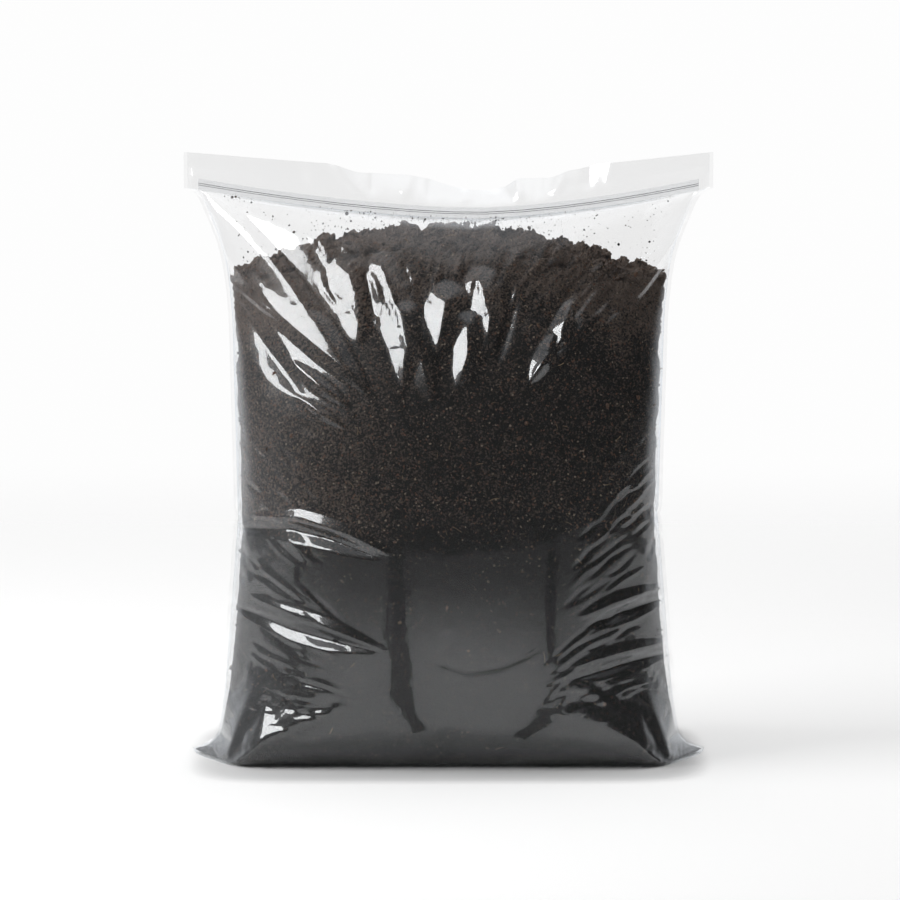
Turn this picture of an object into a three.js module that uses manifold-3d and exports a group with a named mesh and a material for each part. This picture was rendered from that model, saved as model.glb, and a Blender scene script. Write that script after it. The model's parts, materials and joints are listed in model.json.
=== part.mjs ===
// A ten litre bag of compost: a clear press-seal film bag, filled, closed and standing on its folded bottom.
// The film is one sheet folded at the bottom and welded up both sides, so its lower corners stick out as ears.
// A zip of two interlocking strips closes it below a plain lip, and the compost fills it almost to the zip.
// Millimetres. Z is up, the front faces -Y, and the origin is on the floor under the middle of the bag.

import * as THREE from "three";
import { mergeVertices } from "three/addons/utils/BufferGeometryUtils.js";
import Module from "manifold-3d";

const { lerp, smoothstep } = THREE.MathUtils;

// The bag itself.
const bagWidth = 356; // lay-flat, over both side welds
const sideWeld = 2.5; // flat welded margin up each side
const filmGauge = 0.15;
const lipHeight = 16; // plain film above the zip
const lipGap = 1; // between the two plies of the lip
const lipLean = 12; // how far the middle of the lip has flopped backwards
const lipSag = 27; // how far the middle of the lip's edge hangs below its corners
const sagCentre = 0.1; // where it hangs lowest, as a share of the half width

// The filled shape, as it stands.
const standingHeight = 410; // floor to the lip's corners
const bodyDepth = 148;
const bodyRise = 150; // height of the belly's fullest part
const flatBaseDepth = 88; // the strip of film that lies flat on the floor, front to back
const heelDepth = 130; // front to back, where the film has turned up from the floor
const heelHeight = 24;
const heelWidth = 315; // between the welds, just above the ears
const earHeight = 16; // height of the notch between ear and body
const earTipHeight = 3;
const waistWidth = 284; // between the welds, at the narrowest
const waistHeight = 165;
const shoulderWidth = 298; // between the welds, where the compost stops
const shoulderHeight = 327;

// The zip.
const zipHeight = 8; // each strip's web, bottom to top
const zipSag = 21; // how far its middle hangs below its ends
const webThickness = 0.3;
const zipClear = 0.3; // between each web and the film that it is fixed to
const grooveDepth = 1.7;
const hookLength = 0.5;
const hookThickness = 0.5;
const ribStem = 0.7;
const ribHead = 1.5;
const ribClear = 0.1; // between the rib and the hooks that hold it
const zipEndColumns = 2; // the strips stop this many of the film's columns short of the side welds

// The compost.
const fillClear = 0.35; // between the compost and the film
const fillEdge = 3; // the compost stops this far short of each side weld
const heapMiddle = 361; // height of the heap's crest
const heapSide = 328; // height of the heap at the sides
const heapBluntness = 2.6; // the crest stays high and drops near the sides
const heapRoughness = 2.5;
const heapFall = 0.35; // how steeply the heap falls from its crest, front and back

// Folds of the film. A hollow is measured at its deepest and a ridge at its highest.
const sideFoldDepth = 5; // of the flaps that lie across the lower half
const cornerRidgeHeight = 4.5; // of the folds that run in from the upper corners
const fluteHeight = 5; // of the flutes that fan down from the zip
const gatherDepth = 1; // the small puckers up both sides
const seamWave = 1; // how far they sway the side welds
const pleatDepth = 4; // of the lip's pleats, at its edge

// How finely the film is faceted.
const columns = 22; // across each panel, from weld to weld
const pouchRows = 34; // up each panel, from the bottom fold to the zip
const lipRows = 3;
const rowsPerGather = 2;

const weldHalf = bagWidth / 2 - sideWeld;
const zipGap = webThickness + grooveDepth + hookLength + webThickness;
const zipHalfDepth = zipGap / 2 + zipClear + filmGauge;
const zipEndHeight = standingHeight - lipHeight - zipHeight;
const zipFootMiddle = zipEndHeight - zipSag;
const lipHalfDepth = lipGap / 2 + filmGauge;
const FRONT = -1;
const BACK = 1;

// The line up the middle of a panel, as depth from the bag's centre plane against height.
const middleLine = new THREE.CurvePath();
middleLine.add(new THREE.LineCurve(new THREE.Vector2(0, 0), new THREE.Vector2(flatBaseDepth / 2, 0)));
middleLine.add(
  new THREE.QuadraticBezierCurve(
    new THREE.Vector2(flatBaseDepth / 2, 0),
    new THREE.Vector2(heelDepth / 2 - 3, 0),
    new THREE.Vector2(heelDepth / 2, heelHeight),
  ),
);
middleLine.add(
  new THREE.SplineCurve([
    new THREE.Vector2(heelDepth / 2, heelHeight),
    new THREE.Vector2(bodyDepth / 2 - 2, lerp(heelHeight, bodyRise, 0.45)),
    new THREE.Vector2(bodyDepth / 2, bodyRise),
    new THREE.Vector2(bodyDepth * 0.48, lerp(bodyRise, zipFootMiddle, 0.25)),
    new THREE.Vector2(bodyDepth * 0.42, lerp(bodyRise, zipFootMiddle, 0.5)),
    new THREE.Vector2(bodyDepth * 0.3, lerp(bodyRise, zipFootMiddle, 0.75)),
    new THREE.Vector2(bodyDepth * 0.14, lerp(bodyRise, zipFootMiddle, 0.92)),
    new THREE.Vector2(zipHalfDepth, zipFootMiddle),
  ]),
);

// The line of a side weld, as distance from the bag's middle against height.
const sideLine = new THREE.CurvePath();
sideLine.add(
  new THREE.QuadraticBezierCurve(
    new THREE.Vector2(weldHalf, earTipHeight),
    new THREE.Vector2(heelWidth / 2 + 4, earTipHeight + 2),
    new THREE.Vector2(heelWidth / 2, earHeight),
  ),
);
sideLine.add(
  new THREE.SplineCurve([
    new THREE.Vector2(heelWidth / 2, earHeight),
    new THREE.Vector2(lerp(heelWidth, waistWidth, 0.55) / 2, lerp(earHeight, waistHeight, 0.32)),
    new THREE.Vector2(waistWidth / 2, waistHeight),
    new THREE.Vector2(lerp(waistWidth, shoulderWidth, 0.4) / 2, lerp(waistHeight, shoulderHeight, 0.58)),
    new THREE.Vector2(shoulderWidth / 2, shoulderHeight),
    new THREE.Vector2(lerp(shoulderWidth / 2, weldHalf, 0.5), lerp(shoulderHeight, zipEndHeight, 0.45)),
    new THREE.Vector2(weldHalf, zipEndHeight),
  ]),
);

// How far a point is from where the bag's mouth hangs lowest: 0 there and 1 at either side weld.
function fromSag(across) {
  return across > sagCentre ? (across - sagCentre) / (1 - sagCentre) : (sagCentre - across) / (1 + sagCentre);
}

const zipSagCurve = 1.6;
const zipFootAt = (across) => zipEndHeight - zipSag * (1 - fromSag(across) ** zipSagCurve);

// On the floor the bag is a long box whose ends come to the blunt points of the ears. This is half its depth there.
const boxShare = 0.76; // of the half width, before the ends start to narrow
const bluntness = 2.6;
const floorOutline = (past) => (heelDepth / 2) * (1 - past ** bluntness);

// The smooth film, without folds: t runs from the bottom fold, 0, to the foot of the zip, 1, and s from weld to weld.
// Above the floor the section is an oval, which is pinched towards the zip. The levels are values of t.
const boxLevel = 0.1; // the section is a box up to here
const ovalLevel = 0.34; // and an oval from here up
const pinchLevel = 0.62; // the oval's ends start to draw out to points
const flatLevel = 0.93; // the panels start to run parallel into the zip
const droopLevel = 0.8; // rows start to take up the zip's sag
const ovalPower = 0.66; // below 1 the oval is fuller than an ellipse
const pinchPower = 1.5; // above 1 its ends are hollow
function pouchPoint(face, s, t) {
  const middle = middleLine.getPoint(t);
  const side = sideLine.getPoint(lerp(t ** 1.5, t, smoothstep(t, 0.15, 0.5)));
  const across = Math.sin((s * Math.PI) / 2);
  const pastBox = Math.max(Math.abs(across) - boxShare, 0) / (1 - boxShare);
  const box = Math.min(middle.x, floorOutline(pastBox));
  const pinch = lerp(ovalPower, pinchPower, smoothstep(t, pinchLevel, 0.97));
  const oval = middle.x * Math.sqrt(Math.max(1 - across ** 2, 0)) ** pinch;
  const rounded = smoothstep(t, boxLevel, ovalLevel);
  const depth = Math.max(lerp(box, oval, rounded), lipHalfDepth * Math.min(1, t * pouchRows));
  const onFloor = Math.max(1 - middle.x / (heelDepth / 2), 0) ** (1 / bluntness);
  const flatShare = lerp(boxShare + (1 - boxShare) * onFloor, 0, rounded);
  const height = lerp(middle.y, side.y, smoothstep(Math.abs(across), Math.min(flatShare, 0.99), 1));
  return new THREE.Vector3(
    side.x * across,
    face * lerp(depth, zipHalfDepth, smoothstep(t, flatLevel, 1)),
    lerp(height, zipFootAt(across), smoothstep(t, droopLevel, 1)),
  );
}

// The film above the foot of the zip: up is the distance along the film from there. The lip's edge falls straight
// from its corners and then more steeply, and in the middle it is pleated, one pleat to two columns of facets.
const pleatedShare = 0.5;
const zipFoldShare = 0.97; // the zip's web stands this share of its height, because it curves
const edgeCurve = 1.5;
function lipPoint(face, s, up) {
  const across = Math.sin((s * Math.PI) / 2);
  const away = fromSag(across);
  const foot = zipFootAt(across);
  const edge = standingHeight - lipSag * (1 - away) ** edgeCurve;
  const pastZip = Math.max(up - zipHeight, 0) / lipHeight;
  const zipTop = foot + zipHeight * zipFoldShare;
  const lean = lipLean * (1 - smoothstep(away, 0.1, 0.8)) * pastZip ** 1.4;
  const pleat = Math.cos((Math.PI * columns * (s + 1)) / 2) * (1 - smoothstep(away, pleatedShare * 0.8, pleatedShare));
  const half = lerp(zipHalfDepth, lipHalfDepth, Math.min(1, pastZip * 2));
  return new THREE.Vector3(
    weldHalf * across,
    lean + pleatDepth * pleat * pastZip + face * half,
    pastZip > 0 ? lerp(zipTop, edge, pastZip) : lerp(foot, zipTop, up / zipHeight),
  );
}

// A fold from one point of a panel to another. Each point is a column and a row of the facets. A fold with a depth
// is pressed in, and one with a depth below zero stands proud of the panel and is hollow.
function fold(face, from, to, halfWidth, depth) {
  return { face, from, to, halfWidth, depth };
}
const folds = [
  fold(FRONT, [0.4, 14.4], [8.6, 15], 8, sideFoldDepth),
  fold(FRONT, [0.4, 11.5], [8.7, 10.4], 8, sideFoldDepth),
  fold(FRONT, [21.6, 11.7], [15.8, 11.2], 8, sideFoldDepth * 0.85),
  fold(FRONT, [21.6, 9.5], [15.3, 9], 8, sideFoldDepth * 0.85),
  fold(BACK, [0.4, 16], [7.7, 15], 8, sideFoldDepth),
  fold(BACK, [21.6, 14], [13.7, 13], 8, sideFoldDepth),
  fold(BACK, [21.6, 9], [14.8, 9], 8, sideFoldDepth),
  fold(FRONT, [0.2, 33.4], [8.4, 23.3], 13, -cornerRidgeHeight),
  fold(FRONT, [21.8, 33.4], [16.9, 26.6], 12, -cornerRidgeHeight),
  fold(BACK, [0.2, 33.4], [6.6, 26.2], 12, -cornerRidgeHeight),
  fold(BACK, [21.8, 33.4], [15, 25.5], 12, -cornerRidgeHeight),
  fold(FRONT, [7.4, 29.4], [8.1, 25.4], 11, -fluteHeight),
  fold(FRONT, [8.6, 30], [10.6, 22.3], 12, -fluteHeight * 1.2),
  fold(FRONT, [10.5, 29], [11.2, 23.2], 10, -fluteHeight),
  fold(FRONT, [11.7, 29.7], [12.5, 24.7], 10, -fluteHeight),
  fold(FRONT, [15.3, 28.6], [13.8, 23.6], 10, fluteHeight * 0.9),
  fold(BACK, [7, 32], [8.6, 22], 10, fluteHeight * 0.7),
  fold(BACK, [11, 32], [11, 22], 10, -fluteHeight * 0.7),
  fold(BACK, [15, 32], [13.4, 22], 10, fluteHeight * 0.7),
];

// Where a column and a row meet on the flat sheet.
const panelLength = middleLine.getLength();
function onSheet(column, row) {
  const across = Math.sin((Math.PI * ((2 * column) / columns - 1)) / 2);
  return new THREE.Vector2(weldHalf * across, (panelLength * row) / pouchRows);
}

// How deep the folds and side gathers press the film in at a point of a panel. A fold is lens-shaped.
const foldFade = 0.7;
const gatherBand = [0.5, 0.8, 0.85]; // where the side gathers start, are deepest and end, as shares of the half width
const gatherRows = [5, 7, 20, 26]; // the rows over which they swell and die out
function foldDepth(face, column, row) {
  const here = onSheet(column, row);
  let depth = 0;
  for (const f of folds) {
    if (f.face !== face) continue;
    const start = onSheet(...f.from);
    const run = onSheet(...f.to).sub(start);
    const along = here.clone().sub(start).dot(run) / run.lengthSq();
    const nearest = start.clone().addScaledVector(run, THREE.MathUtils.clamp(along, 0, 1));
    const fade = Math.sin(Math.PI * THREE.MathUtils.clamp(along, 0, 1)) ** foldFade;
    depth += f.depth * fade * Math.exp(-((here.distanceTo(nearest) / f.halfWidth) ** 2));
  }
  const across = Math.abs((2 * column) / columns - 1);
  const [inner, deepest, outer] = gatherBand;
  const band = smoothstep(across, inner, deepest) * (1 - smoothstep(across, outer, 1));
  const [first, full, waning, last] = gatherRows;
  const height = smoothstep(row, first, full) * (1 - smoothstep(row, waning, last));
  const pucker = Math.cos((2 * Math.PI * row) / rowsPerGather);
  return depth + gatherDepth * band * height * pucker;
}

// The outside of the film as rows of points. Each row runs round the bag once: the left margin's edge, the front
// panel from weld to weld, the right margin's edge, and the back panel from weld to weld.
const rowCount = pouchRows + 1 + lipRows;
const ringSize = 2 * (columns + 1) + 2;
const leftEdge = 0;
const rightEdge = columns + 2;
const isEdge = (j) => j === leftEdge || j === rightEdge;
const isWeld = (j) => [1, columns + 1, columns + 3, ringSize - 1].includes(j);
const faceOf = (j) => (j < rightEdge ? FRONT : BACK);
const mirrored = (j) => (ringSize - j) % ringSize; // the same point of the other panel
const columnOf = (j) => (faceOf(j) === FRONT ? j : mirrored(j)) - 1;
const acrossOf = (j) => (2 * columnOf(j)) / columns - 1;

function filmPoint(face, s, row) {
  if (row <= pouchRows) return pouchPoint(face, s, row / pouchRows);
  const up = row === pouchRows + 1 ? zipHeight : zipHeight + (lipHeight * (row - pouchRows - 1)) / lipRows;
  return lipPoint(face, s, up);
}

// A point of the side margin's edge or of its weld, which both panels share.
function marginPoint(j, row) {
  const side = j < 2 || j === ringSize - 1 ? -1 : 1;
  const weld = filmPoint(FRONT, side, row).setY(0);
  if (row > pouchRows) weld.y = (filmPoint(FRONT, side, row).y + filmPoint(BACK, side, row).y) / 2;
  const inPouch = row > 4 && row < pouchRows;
  const wave = inPouch ? seamWave * Math.cos((2 * Math.PI * row) / rowsPerGather) : 0;
  weld.y += wave;
  if (isEdge(j)) weld.x += side * sideWeld;
  return weld;
}

const smoothRows = [];
for (let row = 0; row <= rowCount; row++) {
  const ring = [];
  for (let j = 0; j < ringSize; j++) {
    const s = acrossOf(j);
    if (isEdge(j)) ring.push(marginPoint(j, row));
    else if (isWeld(j)) ring.push(marginPoint(j, row).add(new THREE.Vector3(0, row ? faceOf(j) * filmGauge : 0, 0)));
    else ring.push(filmPoint(faceOf(j), s, row));
  }
  smoothRows.push(ring);
}

// Outward normals of a grid of rows. Below the bottom fold the sheet goes on up the other panel.
function normalsOf(rows) {
  return rows.map((ring, row) =>
    ring.map((point, j) => {
      const next = ring[(j + 1) % ringSize];
      const last = ring[(j + ringSize - 1) % ringSize];
      const above = rows[Math.min(row + 1, rows.length - 1)][j];
      const below = row ? rows[row - 1][j] : rows[1][mirrored(j)];
      const round = next.clone().sub(last);
      return round.cross(above.clone().sub(below)).normalize();
    }),
  );
}

// The smooth panels with their folds. Where the bag is thin, a fold takes no more than this share of the way to its
// centre plane. The compost's skin is pressed in by the same folds and passes straight behind the hollow ones.
const deepestShare = 0.4;
const smoothNormals = normalsOf(smoothRows);
function folded(hollowOnes) {
  return smoothRows.map((ring, row) =>
    ring.map((point, j) => {
      if (isEdge(j) || isWeld(j) || row >= pouchRows) return point;
      const depth = Math.min(foldDepth(faceOf(j), columnOf(j), row), deepestShare * Math.abs(point.y));
      return point.clone().addScaledVector(smoothNormals[row][j], -(hollowOnes ? depth : Math.max(depth, 0)));
    }),
  );
}
const outside = folded(true);
const fillSkin = folded(false);

// A skin of the bag, taken in by a thickness. At the welds both plies meet on one line, so the edges and welds
// share it.
function takenIn(rows, thickness) {
  const normals = normalsOf(rows);
  return rows.map((ring, row) =>
    ring.map((point, j) => {
      if (isEdge(j) || isWeld(j)) {
        const onWeld = marginPoint(j < 2 || j === ringSize - 1 ? 1 : columns + 1, row);
        return row ? onWeld : onWeld.add(new THREE.Vector3(0, 0, thickness));
      }
      return point.clone().addScaledVector(normals[row][j], -thickness);
    }),
  );
}

// A closed mesh from loose triangles: corners that coincide become one, and triangles with no area go.
function closedGeometry(triangles) {
  const loose = new THREE.BufferGeometry().setFromPoints(triangles.flat());
  const merged = mergeVertices(loose, 1e-4);
  const corners = merged.index.array;
  const kept = [];
  for (let i = 0; i < corners.length; i += 3) {
    const [a, b, c] = corners.slice(i, i + 3);
    if (a !== b && b !== c && c !== a) kept.push(a, b, c);
  }
  merged.setIndex(kept);
  return merged;
}

// The triangles between successive rings of points. They face outwards if the rings run anticlockwise, seen
// from the last ring, and inwards if flipped. The diagonals of one quarter of the ring mirror those of the next.
function skin(rings, flipped = false) {
  const triangles = [];
  for (let k = 0; k + 1 < rings.length; k++) {
    const lower = rings[k];
    const upper = rings[k + 1];
    const half = lower.length / 2;
    for (let j = 0; j < lower.length; j++) {
      const n = (j + 1) % lower.length;
      if (j % half < half / 2) triangles.push([lower[j], lower[n], upper[n]], [lower[j], upper[n], upper[j]]);
      else triangles.push([lower[j], lower[n], upper[j]], [lower[n], upper[n], upper[j]]);
    }
  }
  return flipped ? triangles.map(([a, b, c]) => [a, c, b]) : triangles;
}

// The triangles between two lines of points. They face up if the second lies to the left of the first.
function strip(first, second) {
  const triangles = [];
  for (let i = 0; i + 1 < first.length; i++) {
    triangles.push([first[i], first[i + 1], second[i + 1]], [first[i], second[i + 1], second[i]]);
  }
  return triangles;
}

// A cap over a closed ring, triangulated as it is seen along one axis.
function cap(ring, flat, flipped) {
  const corners = THREE.ShapeUtils.triangulateShape(ring.map(flat), []);
  return corners.map(([a, b, c]) => (flipped ? [ring[a], ring[c], ring[b]] : [ring[a], ring[b], ring[c]]));
}

function filmBag() {
  const inside = takenIn(outside, filmGauge);
  const mouth = skin([outside[rowCount], inside[rowCount]]);
  return closedGeometry([...skin(outside), ...mouth, ...skin(inside, true)]);
}

const wasm = await Module();
wasm.setup();

function solidOf(geometry) {
  return new wasm.Manifold(
    new wasm.Mesh({
      numProp: 3,
      vertProperties: geometry.attributes.position.array,
      triVerts: new Uint32Array(geometry.index.array),
    }),
  );
}

function geometryOf(solid) {
  const mesh = solid.getMesh();
  const geometry = new THREE.BufferGeometry();
  geometry.setAttribute("position", new THREE.BufferAttribute(mesh.vertProperties, mesh.numProp));
  geometry.setIndex(new THREE.BufferAttribute(mesh.triVerts, 1));
  return geometry;
}

// Everything inside the film, up to the foot of the zip, less the clearance.
function cavity() {
  const least = fillClear / 4; // keeps the front of the cavity in front of its back where the plies nearly touch
  const walls = takenIn(fillSkin, filmGauge + fillClear)
    .slice(0, pouchRows)
    .map((ring, row) =>
      ring.map((point, j) => {
        if (row && !isEdge(j) && !isWeld(j) && point.y * faceOf(j) < least) point.y = faceOf(j) * least;
        return point;
      }),
    );
  const front = walls.at(-1).slice(1, columns + 2);
  const back = front.map((point, i) => walls.at(-1)[mirrored(i + 1)]);
  return solidOf(closedGeometry([...skin(walls), ...strip(front, back)]));
}

// The heap: everything below the compost's rough top and clear of the side welds.
const heapColumns = 28;
const heapRings = 14;
const heapSteps = [1, 0.7, 0.4, 0.12]; // rings of the rough top, as shares of the way out to its edge
const cornerPowers = [0.7, 0.4]; // below 1 the heap's outline is squarer than an ellipse
function heap() {
  const ringAt = (halfWidth, z) =>
    Array.from({ length: heapColumns }, (_, i) => {
      const angle = (2 * Math.PI * (i + 0.5)) / heapColumns;
      const x = Math.sign(Math.sin(angle)) * Math.abs(Math.sin(angle)) ** cornerPowers[0];
      const y = -Math.sign(Math.cos(angle)) * Math.abs(Math.cos(angle)) ** cornerPowers[1];
      return new THREE.Vector3(halfWidth * x, (bodyDepth / 2 + fillEdge) * y, z);
    });
  const rings = [ringAt(weldHalf - fillEdge, -fillEdge)];
  for (let k = 0; k <= heapRings; k++) {
    const side = sideLine.getPoint(k / heapRings);
    if (side.y < heapSide - 4) rings.push(ringAt(side.x - fillEdge, side.y));
  }
  const topHalf = shoulderWidth / 2 - fillEdge;
  const roughAt = (x, y) => Math.sin(x * 0.31 + y * 0.53) * Math.sin(x * 0.117 - y * 0.41 + 1);
  for (const share of heapSteps) {
    rings.push(
      ringAt(topHalf, 0).map((point) => {
        const y = point.y * share;
        const arch = lerp(heapMiddle, heapSide, (Math.abs(point.x) / topHalf) ** heapBluntness);
        return new THREE.Vector3(point.x, y, arch - heapFall * Math.abs(y) + heapRoughness * roughAt(point.x, y));
      }),
    );
  }
  const last = rings.at(-1);
  const bottom = cap(rings[0], (p) => new THREE.Vector2(p.x, p.y), true);
  const crest = cap(last, (p) => new THREE.Vector2(p.x, p.y), false);
  return solidOf(closedGeometry([...skin(rings), ...bottom, ...crest]));
}

function compost() {
  return geometryOf(cavity().intersect(heap()));
}

// A zip strip: its section, as depth against height above the foot of the zip, carried along the sagging zip.
function zipStrip(section) {
  const rings = [];
  for (let i = zipEndColumns; i <= columns - zipEndColumns; i++) {
    const foot = lipPoint(FRONT, (2 * i) / columns - 1, 0);
    rings.push(section.map(([depth, height]) => new THREE.Vector3(foot.x, depth, foot.z + height)));
  }
  const flat = (p) => new THREE.Vector2(p.y, p.z);
  return closedGeometry([...skin(rings), ...cap(rings[0], flat, true), ...cap(rings.at(-1), flat, false)]);
}

const webTop = zipHeight * 0.93; // short of where the lip starts to lean
const zipAxis = webTop / 2;
const webOutside = zipGap / 2;
const webInside = webOutside - webThickness;

// The strip behind the front panel: a web with an arrow-headed rib.
function ribStrip() {
  const hookTip = webInside - grooveDepth;
  const headBack = hookTip + hookLength + ribClear;
  const headTip = webInside - webThickness;
  return zipStrip([
    [-webOutside, 0],
    [-webInside, 0],
    [-webInside, zipAxis - ribStem / 2],
    [headBack, zipAxis - ribStem / 2],
    [headBack, zipAxis - ribHead / 2],
    [headTip, zipAxis - ribStem / 4],
    [headTip, zipAxis + ribStem / 4],
    [headBack, zipAxis + ribHead / 2],
    [headBack, zipAxis + ribStem / 2],
    [-webInside, zipAxis + ribStem / 2],
    [-webInside, webTop],
    [-webOutside, webTop],
  ]);
}

// The strip in front of the back panel: a web with two hooked walls that grip the rib.
function grooveStrip() {
  const hookTip = webInside - grooveDepth;
  const mouthHalf = ribStem / 2 + ribClear;
  const wallInside = ribHead / 2 + 2 * ribClear;
  const wallOutside = wallInside + hookThickness;
  const wall = (sign) => [
    [webInside, zipAxis + sign * wallOutside],
    [hookTip, zipAxis + sign * wallOutside],
    [hookTip, zipAxis + sign * mouthHalf],
    [hookTip + hookLength, zipAxis + sign * mouthHalf],
    [hookTip + hookLength, zipAxis + sign * wallInside],
    [webInside, zipAxis + sign * wallInside],
  ];
  return zipStrip([
    [webOutside, webTop],
    [webInside, webTop],
    ...wall(1),
    ...wall(-1).reverse(),
    [webInside, 0],
    [webOutside, 0],
  ]);
}

// Finishes.
const clearFilm = new THREE.MeshStandardMaterial({
  color: 0xeef0f2,
  roughness: 0.08,
  metalness: 0,
  transparent: true,
  opacity: 0.22,
  side: THREE.DoubleSide,
});
const zipPlastic = new THREE.MeshStandardMaterial({
  color: 0xe6e9ec,
  roughness: 0.25,
  metalness: 0,
  transparent: true,
  opacity: 0.45,
});
const darkCompost = new THREE.MeshStandardMaterial({ color: 0x2b221d, roughness: 0.95, metalness: 0 });

function named(name, geometry, material) {
  const mesh = new THREE.Mesh(geometry, material);
  mesh.name = name;
  return mesh;
}

const bag = new THREE.Group();
bag.add(
  named("film_bag", filmBag(), clearFilm),
  named("compost", compost(), darkCompost),
  named("zip_rib_strip", ribStrip(), zipPlastic),
  named("zip_groove_strip", grooveStrip(), zipPlastic),
);

export default bag;
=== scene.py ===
# %% [markdown]
# # A clear bag of compost
#
# The object is a press-seal bag of clear polyethylene film, about eleven litres of dark compost inside
# it. Almost everything that the eye sees is either the crumbs behind the film or what the film mirrors,
# so the lesson spends its effort on two things: wrinkles where a filled bag shows them, and compost that
# is made of pieces.
#
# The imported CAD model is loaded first. It is a fixed frame: the pieces made here go where its nodes are.

import bmesh
import bpy
import json
import math
import numpy as np
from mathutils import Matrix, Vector
from mathutils.bvhtree import BVHTree

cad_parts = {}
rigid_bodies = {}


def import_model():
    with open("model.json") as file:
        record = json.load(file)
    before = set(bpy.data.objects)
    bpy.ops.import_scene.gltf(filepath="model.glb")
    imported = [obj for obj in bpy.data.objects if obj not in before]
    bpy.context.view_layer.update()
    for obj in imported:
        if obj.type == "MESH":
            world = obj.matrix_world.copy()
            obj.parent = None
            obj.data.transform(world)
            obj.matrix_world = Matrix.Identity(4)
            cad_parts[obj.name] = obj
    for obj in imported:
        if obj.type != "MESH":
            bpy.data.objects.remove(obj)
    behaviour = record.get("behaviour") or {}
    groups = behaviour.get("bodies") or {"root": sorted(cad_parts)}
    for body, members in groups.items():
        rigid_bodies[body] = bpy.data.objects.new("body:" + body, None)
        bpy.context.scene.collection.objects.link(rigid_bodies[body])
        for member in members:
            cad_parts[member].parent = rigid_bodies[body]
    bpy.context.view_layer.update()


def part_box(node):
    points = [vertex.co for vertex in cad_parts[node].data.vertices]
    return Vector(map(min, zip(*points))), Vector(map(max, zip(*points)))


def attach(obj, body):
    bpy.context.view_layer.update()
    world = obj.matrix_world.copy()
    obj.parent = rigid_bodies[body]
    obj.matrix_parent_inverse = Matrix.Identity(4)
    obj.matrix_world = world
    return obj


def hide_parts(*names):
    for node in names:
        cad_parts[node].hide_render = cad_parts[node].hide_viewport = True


MM = 0.001
for startup_object in list(bpy.data.objects):
    bpy.data.objects.remove(startup_object)
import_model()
bpy.ops.object.select_all(action="DESELECT")

# %% [markdown]
# ## The camera
#
# The bag is seen square on and from slightly above, through a long lens, so its sides hardly converge.
# The lens follows from the distance and from how wide the view is at the bag's middle plane.

# %% Camera
view_width = 611 * MM
camera_distance = 2.4
camera_elevation = math.radians(7)
aim = Vector((1 * MM, 0, 208.2 * MM))

camera_data = bpy.data.cameras.new("camera")
camera = bpy.data.objects.new("camera", camera_data)
bpy.context.collection.objects.link(camera)
bpy.context.scene.camera = camera
back_off = Vector((0, -math.cos(camera_elevation), math.sin(camera_elevation)))
camera.location = aim + back_off * camera_distance
camera.rotation_euler = (math.pi / 2 - camera_elevation, 0, 0)
camera_data.lens = camera_data.sensor_width * camera_distance / view_width
camera_data.clip_start = 0.1
print("lens, mm:", round(camera_data.lens))

# %% [markdown]
# ## The shape that the film stands in
#
# The film is one sheet, folded at the bottom and welded up both sides. Filled, its two panels stand as a
# loft: a line up the middle of each panel gives the bag's depth, the line of the side weld gives its
# width, and each level is a rounded section between them. On the floor the section is a long box with
# blunt ends, the ears.

# %% Lines of the loft
_, film_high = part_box("film_bag")
side_weld = 2.5 * MM
weld_half = film_high.x - side_weld
stand_height = film_high.z
lip_height = 16 * MM
zip_height = 8 * MM
zip_sag = 21 * MM
zip_end = stand_height - lip_height - zip_height
zip_middle = zip_end - zip_sag
zip_half_depth = 1.85 * MM
lip_half_depth = 0.65 * MM
lip_lean = 12 * MM
lip_drop = MM * np.array([
    # distance from the middle, and how far the lip's edge has dropped there
    (-178, 0), (-78, 8.2), (-62, 14), (-27, 15.7), (-14, 18.4), (1, 23.2), (15, 26), (30, 26), (40, 23.2),
    (46, 18.2), (70, 17.6), (80, 13), (88, 11.6), (102, 8.2), (178, 0),
])
sag_centre = 0.1
heel_half = 65 * MM


def through(points, steps=24):
    """A smooth line through the points, as many short steps."""
    p = np.array([points[0], *points, points[-1]], float)
    u = np.linspace(0, 1, steps, endpoint=False)[:, None]
    spans = []
    for a, b, c, d in zip(p, p[1:], p[2:], p[3:]):
        curve = 2 * b + (c - a) * u + (2 * a - 5 * b + 4 * c - d) * u**2 + (3 * b - a - 3 * c + d) * u**3
        spans.append(curve / 2)
    return np.vstack([*spans, p[-1:]])


def bend(a, b, c, steps=24):
    """A rounded corner from a to c, pulled towards b."""
    u = np.linspace(0, 1, steps)[:, None]
    return (1 - u) ** 2 * np.array(a) + 2 * u * (1 - u) * np.array(b) + u**2 * np.array(c)


def along(line, share):
    """Points at shares of the line's length."""
    steps = np.linalg.norm(np.diff(line, axis=0), axis=1)
    length = np.concatenate([[0], np.cumsum(steps)])
    at = np.asarray(share) * length[-1]
    return np.stack([np.interp(at, length, line[:, k]) for k in (0, 1)], axis=-1), length[-1]


middle_line = MM * np.vstack([
    [[0, 0]],
    bend((44, 0), (62, 0), (65, 24)),
    through([(65, 24), (72, 81), (74, 150), (71, 204), (62, 258), (44, 311), (20.7, 348), (1.85, 365)])[1:],
])
side_line = MM * np.vstack([
    bend((175.5, 3), (161.5, 5), (157.5, 16)),
    through([(157.5, 16), (149, 64), (142, 165), (144.8, 259), (149, 322), (162.6, 353), (175.5, 386)])[1:],
])
_, panel_length = along(middle_line, 1)
print("panel, bottom fold to zip, mm:", round(panel_length / MM))

# %% [markdown]
# ## From a box to a flat zip
#
# The section changes on the way up: a long box on the floor, an oval at the belly, then an oval with
# points, and at the zip two flat plies. Each change is a smooth blend over a share of the panel's length.

# %% Sections of the loft
box_share = 0.76
bluntness = 2.6


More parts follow.
